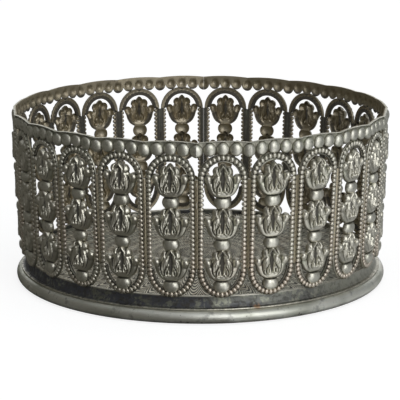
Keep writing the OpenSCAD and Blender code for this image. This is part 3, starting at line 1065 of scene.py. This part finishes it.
def sizes():
    """The values of all groups, with lengths in millimetres but for the studio's."""
    scene = bpy.context.scene
    return SimpleNamespace(
        foot=in_mm(scene.coaster_foot), gallery=in_mm(scene.coaster_gallery),
        tulip=in_mm(scene.coaster_tulip), finish=scene.coaster_finish, studio=scene.coaster_studio)


def set_out(name, mesh, material, slot, *nodes):
    """Makes a piece of the mesh, stands it for its CAD nodes and lets it ride on the coaster."""
    mesh.materials.clear()
    mesh.materials.append(material)
    piece = bpy.data.objects.new(name, mesh)
    bpy.context.scene.collection.objects.link(piece)
    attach(piece, "root")
    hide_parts(*nodes)
    return piece


def turned_piece(name, form, material, slot, node, dent=0.0):
    """A turned piece, knocked round its edge by up to the dent's depth, and set out for its node."""
    away = np.hypot(*form.points[:, :2].T)
    depths = np.where(away > away.max() - KNOCKED_BAND, dent, 0)
    form.points = knocked(form.points, depths, FOOT_KNOCKS)
    mesh = mesh_of(name, form, MM)
    face_outwards(mesh)
    soften(mesh, TURNED_EDGE)
    return set_out(name, mesh, material, slot, node)


# Wear and tarnish of a panel, with painted shade on the rim beads below their middle, as what its mark
# "rubbed" gains or loses. At 0 the silver is black, and at 0.85 bright.
# It grows from the level sheet's wear with a power of the height.
# The reach of the air, the rise of a crest and the width of a joint's edge are in millimetres.

AIR_REACH = 1.3
AIR_RAYS = 40
LEVEL_WEAR = 0.35
HEIGHT_POWER = 1.5
CREST_RISE = 0.12
CREST_ROUNDS = 6
CREST_WEAR = 0.26
GROOVE_TARNISH = 1.8
LEAST_BEAD_WEAR = 0.9
FLANGE_SHARE = 0.8
FLANGE_WEAR = 0.25
JOINT_WEAR = 0.4
JOINT_EDGE_W = 0.1
LIP_TARNISH = 0.5
LIP_SHARE = 0.97
# Painted shade, with some tarnish, on the rim beads below their middle
RIM_FOOT_SHADE_AND_TARNISH = 0.35
RIM_EDGE_FROM = -0.9
RIM_EDGE_SHARE = 0.6
RIM_EDGE_WEAR = 0.5

# The mark "inside" is 1 where a face looks at least this share inwards

INWARD_SHARE = 0.5

# The mark "dull" of the small beads and of the balls, where the rim's is 1

BEAD_DULLNESS = 0.6
BALL_DULLNESS = 0.7

# The small beads' copper fades upwards, and is gone at this share of the height of the loop's upper bend

COPPER_TOP_SHARE = 1.3

# The small beads' differences in size, and the points of the line that carries them

BEAD_UNEVENNESS = 0.05
BEAD_SEED = 7
LINE_POINTS_PER_BEAD = 8


class FlatPanel:
    """One flat panel with its marks of wear, in millimetres, that every panel of the gallery is a copy of."""

    def __init__(self, size, silver):
        self.gallery = size.gallery
        self.tulip = size.tulip
        self.plan = PanelPlan(size.gallery, size.foot)
        self.relief = Relief(size.tulip)
        band = loop_band(self.plan)
        under_rim = len(band.points)
        sheet = mesh_of("sheet", band.take(rim_strip(self.plan)))
        face_outwards(sheet)
        beads = self.small_beads(silver)
        self.mesh = joined("panel", [sheet, beads, self.drop_row(silver)])
        self.points = places_of(self.mesh)
        first = len(sheet.vertices)
        last = first + len(beads.vertices)
        self.sheet = slice(first)
        self.rim = slice(under_rim, first)
        self.beads = slice(first, last)
        self.drops = slice(last, None)
        mark(self.mesh, "rubbed", self.rubbed())
        mark(self.mesh, "warm", self.warm())
        mark(self.mesh, "dull", self.dull())
        normals = np.array([vertex.normal[:] for vertex in self.mesh.vertices])
        mark(self.mesh, "inside", np.clip(-normals[:, 2] / INWARD_SHARE, 0, 1))

    def small_beads(self, silver):
        """The row of small beads round the loop, as one mesh."""
        gallery = self.gallery
        line = self.plan.loop_line(LINE_POINTS_PER_BEAD * gallery.bead_count)
        count = len(line)
        bed = bpy.data.meshes.new("bead_line")
        bed.from_pydata(
            [(x, y, gallery.sheet_t) for x, y in line], [(i, (i + 1) % count) for i in range(count)], [])
        return grown("bead_row", bed, bead_row_tree(), {
            "Bead radius": gallery.bead_r, "Bead breadth": gallery.bead_breadth,
            "Bead height": gallery.bead_flatness, "Bead count": gallery.bead_count,
            "Unevenness": BEAD_UNEVENNESS, "Seed": BEAD_SEED, "Metal": silver})

    def drop_row(self, silver):
        """The tulips over their balls, as one mesh."""
        tulip = self.tulip
        drop = bpy.data.objects.new("drop", mesh_of("drop", self.relief.form()))
        face_outwards(drop.data)
        drops = grown("drop_row", bpy.data.meshes.new("drop_base"), drop_row_tree(), {
            "Drop": drop, "Drops": tulip.count, "First": (0, tulip.start, 0),
            "Pitch": (0, tulip.height + tulip.gap, 0), "Metal": silver})
        bpy.data.objects.remove(drop)
        return drops

    def in_drop(self):
        """The points of the drops, each as a place on its own drop."""
        tulip = self.tulip
        pitch = tulip.height + tulip.gap
        places = self.points[self.drops, :2]
        steps = np.clip((places[:, 1] - (tulip.start - tulip.gap)) // pitch, 0, tulip.count - 1)
        return places - np.outer(tulip.start + steps * pitch, (0, 1))

    def rubbed(self):
        """How rubbed each point is: high spots, ridges, flange and edges more, hollows and grooves less. The
        rim beads
        are darkened towards their foot: painted shade, with some tarnish.
        """
        gallery = self.gallery
        x, y, z = self.points.T
        raised = np.clip(z / self.tulip.relief, 0, 1)
        air = np.array(open_share(self.mesh, AIR_REACH, AIR_RAYS))
        worn = air * (LEVEL_WEAR + (1 - LEVEL_WEAR) * raised**HEIGHT_POWER)
        worn[self.drops] += CREST_WEAR * crests(self.mesh, CREST_RISE, CREST_ROUNDS)[self.drops]
        in_drop = self.in_drop()
        worn[self.drops] += self.relief.flower_and_bowl_shift(in_drop) - GROOVE_TARNISH * self.relief.cut(in_drop)
        worn[self.beads] = np.maximum(worn[self.beads], LEAST_BEAD_WEAR)
        near_joint = np.abs(x) > self.plan.joint_x(y, z) - JOINT_EDGE_W
        flange = (z > FLANGE_SHARE * gallery.sheet_t) * (FLANGE_WEAR + JOINT_WEAR * near_joint)
        worn[self.sheet] += flange[self.sheet]
        worn[self.sheet] -= LIP_TARNISH * (self.plan.loop_share(x, y) < LIP_SHARE)[self.sheet]
        # How far under the middle of the rim beads, in their radii
        down = (gallery.panel_h - gallery.rim_bead_drop - y) / gallery.rim_bead_r
        # The rim beads darken towards their foot: painted shade, with some tarnish at the foot.
        worn[self.rim] -= RIM_FOOT_SHADE_AND_TARNISH * np.clip(down, 0, 1)[self.rim] ** 2
        edge = (down < RIM_EDGE_FROM) & (z > RIM_EDGE_SHARE * gallery.sheet_t)
        worn[self.rim] += RIM_EDGE_WEAR * edge[self.rim]
        return worn

    def warm(self):
        """How much copper shows: on the small beads alone, and less on the higher ones."""
        share = np.zeros(len(self.points))
        climb = self.points[self.beads, 1] / self.plan.crown_mid_y
        share[self.beads] = np.clip(COPPER_TOP_SHARE - climb, 0, 1)
        return share

    def dull(self):
        """How dull and stained each point is: the rim, the small beads and the balls."""
        share = np.zeros(len(self.points))
        share[self.beads] = BEAD_DULLNESS
        share[self.rim] = 1
        share[self.drops] = BALL_DULLNESS * (self.in_drop()[:, 1] < BALL_TOP_SHARE * self.tulip.height)
        return share

    def stood(self, i):
        """The mesh of panel number i where it stands in the gallery, knocked near the rim, in metres."""
        gallery = self.gallery
        place = np.array(self.plan.in_place(i))
        points = self.points @ place[:3, :3].T + place[:3, 3]
        low, high = self.plan.foot_z + gallery.toe_h, self.plan.foot_z + gallery.panel_h
        rise = np.clip((points[:, 2] - low) / (high - low), 0, 1) ** KNOCK_POWER
        points = knocked(points, gallery.dent * rise, GALLERY_KNOCKS)
        mesh = self.mesh.copy()
        mesh.vertices.foreach_set("co", (points * MM).astype(np.float32).ravel())
        mesh.update()
        soften(mesh, STAMPED_EDGE)
        return mesh


class COASTER_OT_gallery(Operator):
    """Stamped panels of the gallery: loops of beads, tulips, balls and the beaded rim"""
    bl_idname = "coaster.gallery"
    bl_label = "Gallery Panels"

    def execute(self, context):
        size = sizes()
        silver = gallery_silver(size.finish)
        panel = FlatPanel(size, silver)
        for i, node in enumerate(PANEL_NODES):
            set_out("gallery_" + node, panel.stood(i), silver, "gallery_metal", node)
        return {"FINISHED"}


class COASTER_OT_foot_ring(Operator):
    """Half-round moulding that the coaster stands on"""
    bl_idname = "coaster.foot_ring"
    bl_label = "Foot Moulding"

    def execute(self, context):
        size = sizes()
        low, high, outer = RING_LOW.z / MM, RING_HIGH.z / MM, RING_HIGH.x / MM
        tube_r = (high - low) / 2
        profile = arc((outer - tube_r, low + tube_r), tube_r, -90, 90, 21)
        inner = outer - size.foot.ring_w
        profile += [(inner, high), (inner, low)]
        turned_piece(
            "moulded_foot", turned(profile, RING_STEPS), foot_silver(size.finish), "foot_metal", "foot_ring",
            size.foot.dent)
        return {"FINISHED"}


class COASTER_OT_base_shell(Operator):
    """Spun dish with the fillet, the hollow neck and the recess of the floor"""
    bl_idname = "coaster.base_shell"
    bl_label = "Base Shell"

    def execute(self, context):
        size = sizes()
        foot = size.foot
        low, top, outer = SHELL_LOW.z / MM, SHELL_HIGH.z / MM, SHELL_HIGH.x / MM
        neck_foot = low + foot.fillet_h - size.gallery.seam
        neck_r = RING_HIGH.x / MM - foot.neck_inset
        wall_r = neck_r - foot.neck_t
        lip_r = foot.neck_t / 3
        ledge = PLATE_LOW.z / MM - size.gallery.seam
        bead = foot.fillet_h / 4
        profile = [(RING_HIGH.x / MM - foot.ring_w, low), (outer - bead, low)]
        profile += arc((outer - bead, low + bead), bead, -60, 90, 6)
        profile += [(neck_r + foot.neck_flare + bead, neck_foot - bead)]
        profile += arc((neck_r + foot.neck_flare + bead, neck_foot + bead), bead, 250, 180, 4)
        for t in np.linspace(COVE_START, COVE_END, COVE_STEPS):
            cove = foot.neck_cove * math.sin(math.pi * t)
            profile.append((neck_r + foot.neck_flare * (1 - t) - cove, neck_foot + (top - neck_foot) * t))
        profile += arc((neck_r - lip_r, top - lip_r), lip_r, 0, 90, 5)
        profile += arc((wall_r + lip_r, top - lip_r), lip_r, 90, 180, 5)
        profile += [(wall_r, ledge), (wall_r - foot.ledge_w, ledge)]
        profile += [(wall_r - foot.ledge_w, ledge - foot.ledge_t)]
        profile += [(RING_HIGH.x / MM - foot.ring_w, ledge - foot.ledge_t)]
        turned_piece(
            "spun_base", turned(profile, RING_STEPS), neck_silver(size.finish, foot), "foot_metal",
            "base_shell")
        return {"FINISHED"}


class COASTER_OT_floor_plate(Operator):
    """Engraved disc that the bottle stands on"""
    bl_idname = "coaster.floor_plate"
    bl_label = "Floor Plate"

    def execute(self, context):
        size = sizes()
        low, top, outer = PLATE_LOW.z / MM, PLATE_HIGH.z / MM, PLATE_HIGH.x / MM
        edge = (top - low) / 4
        border = outer - BORDER_HATCHES * size.foot.hatch_pitch
        profile = [(share * border, top) for share in (POLE_SHARE, 0.25, 0.5, 0.75, 1)]
        profile += [(border + edge, top - edge), (border + 2 * edge, top - edge), (border + 3 * edge, top)]
        profile += arc((outer - edge, top - edge), edge, 90, 0, 4)
        profile += [(outer, low), (0.5 * outer, low), (POLE_SHARE * outer, low)]
        turned_piece(
            "engraved_floor", spun_disc(profile, FLOOR_STEPS), floor_silver(size.finish, size.foot),
            "floor_metal", "floor_plate")
        return {"FINISHED"}


class COASTER_OT_underside(Operator):
    """Board that closes the underside, and the felt under it"""
    bl_idname = "coaster.underside"
    bl_label = "Board and Felt"

    def execute(self, context):
        size = sizes()
        low, top, outer = BOARD_LOW.z / MM, BOARD_HIGH.z / MM, BOARD_HIGH.x / MM
        bevel = (top - low) / 8
        profile = [(POLE_SHARE * outer, top), (0.5 * outer, top), (outer - bevel, top), (outer, top - bevel)]
        profile += [(r, low + top - z) for r, z in profile[::-1]]
        turned_piece(
            "bottom_disc", spun_disc(profile, DISC_STEPS), stained_board(size.finish), "board",
            "bottom_board")
        low, top, outer = FELT_LOW.z / MM, FELT_HIGH.z / MM, FELT_HIGH.x / MM
        pile = (top - low) / 3
        profile = [(share * outer, top) for share in (POLE_SHARE, 0.3, 0.6, 0.9)]
        profile += arc((outer - pile, top - pile), pile, 90, 0, 4)
        profile += arc((outer - pile, low + pile), pile, 0, -90, 4)
        profile += [(share * outer, low) for share in (0.9, 0.6, 0.3, POLE_SHARE)]
        felt = turned_piece(
            "felt_disc", spun_disc(profile, DISC_STEPS), green_felt(size.finish), "felt", "felt_pad")
        return {"FINISHED"}


# The studio, in metres, with the coaster's axis at 0,0 and the camera on the near side: the walls of cards

LEFT, RIGHT, NEAR, FAR = -1.1, 1.25, -1.6, 2.2
NEAREST = -1.9
CARD_TOP = 1.7
FRONT_CORNER = (-0.39, -1.85)
FRONT_END = (0.36, NEAREST)
RIGHT_START = -0.9

# The cards that lie on the table, one over the other near the foot. The two round the foot and the near card
# are painted shade: they stand for the table's shade round the foot, as reflections see it. The two round the
# foot, dark at the left and pale at the right, meet at the split, in degrees. The near card is a slice
# between two angles.

TABLE_CARD_Z = 0.5 * MM
DARK_TABLE_END = -0.34
DIM_TABLE_END = 0.3
GREY_TABLE_START = -1.05
FOOT_CARD_Z = 0.8 * MM
FOOT_CARD_R = 0.073
FOOT_CARD_SPLIT = 99
FOOT_CARD_STEPS = 31
NEAR_CARD_Z = 1 * MM
NEAR_CARD_R = 0.13
NEAR_CARD_SLICE = (-55, 60)
NEAR_CARD_STEPS = 24

# The cards' shades

DARK = (0.165, 0.155, 0.13)
DIM = (0.31, 0.3, 0.275)
GREY = (0.44, 0.44, 0.43)
PALE = (0.7, 0.7, 0.69)

# The window's lamp, the paper and the room's light

WINDOW_PLACE = (0.6, -1.15, 0.62)
WINDOW_SIZE = (0.82, 1.25)
WINDOW_POWER = 5
COASTER_MIDDLE = (0, 0, 0.03)
FLOOR_REACH = 3
PAPER_GLOW = 1.33
PAPER_GLOW_SHARE = 0.6
SOFT_WHITE = (0.55, 0.56, 0.58)
WHITE = (1, 1, 1)


def area_light(name, place, target, size, power):
    """A rectangular lamp that faces the target."""
    light = bpy.data.lights.new(name, "AREA")
    light.shape = "RECTANGLE"
    light.size, light.size_y = size
    light.energy = power
    lamp = bpy.data.objects.new(name, light)
    lamp.location = place
    lamp.rotation_euler = (Vector(target) - Vector(place)).to_track_quat("-Z", "Y").to_euler()
    bpy.context.scene.collection.objects.link(lamp)


def mirror_card(name, corners, shade):
    """A card that only reflections see, so that the silver mirrors something darker than the white room."""
    paint = Paint(name)
    paint.feed(Base_Color=rgba(shade), Roughness=0.9)
    mesh = bpy.data.meshes.new(name)
    mesh.from_pydata(corners, [], [range(len(corners))])
    mesh.materials.append(paint.material)
    card = bpy.data.objects.new(name, mesh)
    bpy.context.scene.collection.objects.link(card)
    card.visible_camera = False
    card.visible_diffuse = False
    card.visible_shadow = False


def seen_directly(start):
    """1 where the camera, a gloss or glass sees a surface, and 0 where it only lights other things."""
    seen = start.node("ShaderNodeLightPath", output="Is Camera Ray")
    seen = seen + start.node("ShaderNodeLightPath", output="Is Glossy Ray")
    return (seen + start.node("ShaderNodeLightPath", output="Is Transmission Ray")).capped()


def white_room():
    """A world that is white where the camera or a gloss sees it, and softer where it lights the coaster."""
    world = bpy.data.worlds.new("white_room")
    bpy.context.scene.world = world
    world.use_nodes = True
    start = Wire(world.node_tree)
    shade = start.node(
        "ShaderNodeMix", {"Factor": seen_directly(start), "A": rgba(SOFT_WHITE), "B": rgba(WHITE)},
        "Result", data_type="RGBA")
    back = world.node_tree.nodes["Background"]
    world.node_tree.links.new(shade.socket, back.inputs["Color"])
    back.inputs["Strength"].default_value = 1


def studio_paper(tint):
    """Matt white paper that stays white to the camera and keeps a light shadow."""
    paint = Paint("studio_paper")
    paint.feed(Base_Color=rgba(tint.paper), Roughness=0.9, Specular_IOR_Level=0.1)
    glow = paint.start.node("ShaderNodeEmission", {"Color": rgba(WHITE), "Strength": PAPER_GLOW})
    matt = Wire(paint.material.node_tree, paint.shader.outputs["BSDF"])
    mixed = paint.start.node(
        "ShaderNodeMixShader", {0: seen_directly(paint.start) * PAPER_GLOW_SHARE, 1: matt, 2: glow})
    tree = paint.material.node_tree
    tree.links.new(mixed.socket, tree.nodes["Material Output"].inputs["Surface"])
    return paint.material


def studio_floor(tint):
    """A wide sheet of paper under the coaster."""
    floor = bpy.data.meshes.new("studio_floor")
    floor.from_pydata(
        [(x * FLOOR_REACH, y * FLOOR_REACH, 0) for x, y in ((-1, -1), (1, -1), (1, 1), (-1, 1))], [],
        [(0, 1, 2, 3)])
    floor.materials.append(studio_paper(tint))
    ground = bpy.data.objects.new("studio_floor", floor)
    bpy.context.scene.collection.objects.link(ground)


def mirror_cards():
    """The cards on the table and round the room, darker on the left than on the right."""
    split = FOOT_CARD_SPLIT
    foot_left = arc((0, 0), FOOT_CARD_R, split, split + 180, FOOT_CARD_STEPS)
    foot_right = arc((0, 0), FOOT_CARD_R, split - 180, split, FOOT_CARD_STEPS)
    near_slice = [(0, 0)] + arc((0, 0), NEAR_CARD_R, *NEAR_CARD_SLICE, NEAR_CARD_STEPS)
    lying = (
        ("left_table_card", DARK, TABLE_CARD_Z, [
            (LEFT, NEAR), (DARK_TABLE_END, NEAR), (0, 0), (0, FAR), (LEFT, FAR)]),
        ("front_table_card", DIM, TABLE_CARD_Z, [(DARK_TABLE_END, NEAR), (DIM_TABLE_END, NEAR), (0, 0)]),
        ("right_table_card", GREY, TABLE_CARD_Z, [
            (0, 0), (RIGHT, GREY_TABLE_START), (RIGHT, FAR), (0, FAR)]),
        # The foot cards and the near card are painted shade: the table's shade round the foot, as reflections
        # see it.
        ("left_foot_card", DARK, FOOT_CARD_Z, foot_left),
        ("right_foot_card", PALE, FOOT_CARD_Z, foot_right),
        ("right_near_card", PALE, NEAR_CARD_Z, near_slice),
        ("top_card", PALE, CARD_TOP, [(LEFT, NEAREST), (RIGHT, NEAREST), (RIGHT, FAR), (LEFT, FAR)]))
    for name, shade, z, edge in lying:
        mirror_card(name, [(x, y, z) for x, y in edge], shade)
    standing = (
        ("left_card", DARK, (LEFT, FAR), (LEFT, NEAR)),
        ("front_left_card", DARK, (LEFT, NEAR), FRONT_CORNER),
        ("front_card", DIM, FRONT_CORNER, FRONT_END),
        ("right_card", GREY, (RIGHT, RIGHT_START), (RIGHT, FAR)))
    for name, shade, (x0, y0), (x1, y1) in standing:
        mirror_card(name, [(x0, y0, 0), (x1, y1, 0), (x1, y1, CARD_TOP), (x0, y0, CARD_TOP)], shade)


def photo_camera(studio):
    """The camera where the photograph's stood."""
    camera = bpy.data.cameras.new("camera")
    camera.lens = studio.lens
    camera.shift_x = studio.shift
    eye = bpy.data.objects.new("camera", camera)
    eye.location = (0, -studio.distance, studio.height)
    eye.rotation_euler = (math.pi / 2 - studio.pitch, 0, 0)
    bpy.context.scene.collection.objects.link(eye)
    bpy.context.scene.camera = eye


class COASTER_OT_stage(Operator):
    """Pale studio floor, soft light and the camera of the photograph"""
    bl_idname = "coaster.stage"
    bl_label = "Stage"

    def execute(self, context):
        size = sizes()
        studio_floor(size.finish)
        white_room()
        area_light("window_light", WINDOW_PLACE, COASTER_MIDDLE, WINDOW_SIZE, WINDOW_POWER)
        mirror_cards()
        photo_camera(size.studio)
        context.scene.view_settings.view_transform = "Standard"
        return {"FINISHED"}


class COASTER_PT_sidebar(Panel):
    """Sizes, colours and steps of the coaster"""
    bl_idname = "COASTER_PT_sidebar"
    bl_label = "Bottle Coaster"
    bl_space_type = "VIEW_3D"
    bl_region_type = "UI"
    bl_category = "Coaster"

    def draw(self, context):
        layout = self.layout
        for step in STEPS:
            layout.operator(step.bl_idname)
        for name in GROUPS:
            box = layout.box()
            group = getattr(context.scene, name)
            for prop in settings_of(group):
                box.prop(group, prop.identifier)


# What is registered: the steps, and the groups of settings by their names on the scene

STEPS = (
    COASTER_OT_stage, COASTER_OT_base_shell, COASTER_OT_foot_ring, COASTER_OT_floor_plate,
    COASTER_OT_underside, COASTER_OT_gallery)
GROUPS = {
    "coaster_foot": CoasterFootSizes, "coaster_gallery": CoasterGallerySizes,
    "coaster_tulip": CoasterTulipSizes, "coaster_finish": CoasterFinish, "coaster_studio": CoasterStudio}


def register():
    for kind in (*GROUPS.values(), *STEPS, COASTER_PT_sidebar):
        bpy.utils.register_class(kind)
    for name, kind in GROUPS.items():
        setattr(bpy.types.Scene, name, PointerProperty(type=kind))


def unregister():
    for name in GROUPS:
        delattr(bpy.types.Scene, name)
    for kind in (COASTER_PT_sidebar, *STEPS[::-1], *GROUPS.values()):
        bpy.utils.unregister_class(kind)


def main():
    register()
    bpy.ops.coaster.stage()
    bpy.ops.coaster.base_shell()
    bpy.ops.coaster.foot_ring()
    bpy.ops.coaster.floor_plate()
    bpy.ops.coaster.underside()
    bpy.ops.coaster.gallery()


if __name__ == "__main__":
    main()
